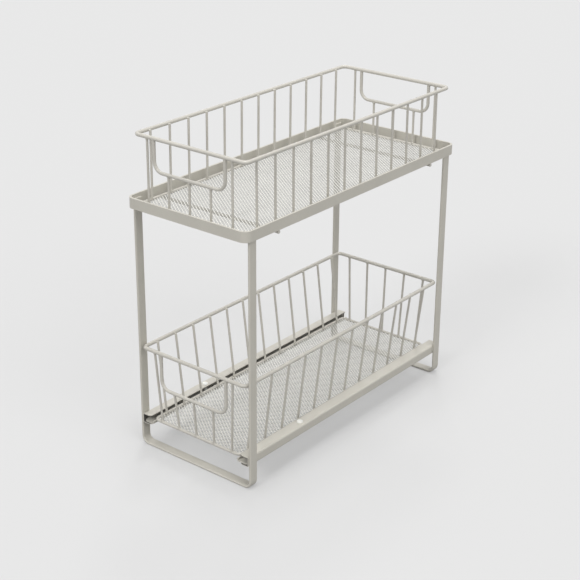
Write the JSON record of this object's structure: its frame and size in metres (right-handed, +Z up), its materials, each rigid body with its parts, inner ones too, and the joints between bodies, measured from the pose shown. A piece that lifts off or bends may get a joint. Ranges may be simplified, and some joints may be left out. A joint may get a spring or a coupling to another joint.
{
  "type": "under sink organizer",
  "caption": "Free-standing two-tier wire organizer: a lift-out upper basket in a tray band on bent flat-bar legs, over a wire basket that slides out on channel rails.",
  "frame": {"origin": "on the floor, under the middle of the tray band", "axes": "+Z up; the front, where the drawer pulls out, faces -Y; +X is the right-hand side seen from the front"},
  "size_m": [0.176, 0.4, 0.3895],
  "materials": {
    "bar_coat": "satin powder coat, warm light grey",
    "wire_coat": "satin powder coat on wire, warm light grey",
    "net_coat": "satin powder coat on a fine steel net",
    "nylon": "milky white nylon"
  },
  "bodies": {
    "frame": {"tray_band": "bar_coat", "front_leg_frame": "bar_coat", "rear_leg_frame": "bar_coat", "front_cross_wire": "wire_coat", "rear_cross_wire": "wire_coat", "left_rail": "bar_coat", "right_rail": "bar_coat", "left_stop_plug": "nylon", "right_stop_plug": "nylon"},
    "upper_basket": {"upper_rim": "wire_coat", "upper_base_wire": "wire_coat", "upper_net_floor": "net_coat", "upper_front_handle": "wire_coat", "upper_rear_handle": "wire_coat", "upper_left_uprights": "wire_coat", "upper_right_uprights": "wire_coat", "upper_front_uprights": "wire_coat", "upper_rear_uprights": "wire_coat"},
    "drawer": {"drawer_rim": "wire_coat", "drawer_base_wire": "wire_coat", "drawer_net_floor": "net_coat", "drawer_handle": "wire_coat", "drawer_left_uprights": "wire_coat", "drawer_right_uprights": "wire_coat", "drawer_front_uprights": "wire_coat", "drawer_rear_uprights": "wire_coat", "drawer_left_runner": "bar_coat", "drawer_right_runner": "bar_coat"}
  },
  "joints": [
    {"name": "drawer_slide", "type": "slide", "parent": "frame", "child": "drawer", "axis": [0, -1, 0], "range_m": [0, 0.276]},
    {"name": "upper_lift", "type": "slide", "parent": "frame", "child": "upper_basket", "axis": [0, 0, 1], "range_m": [0, 0.1]}
  ]
}
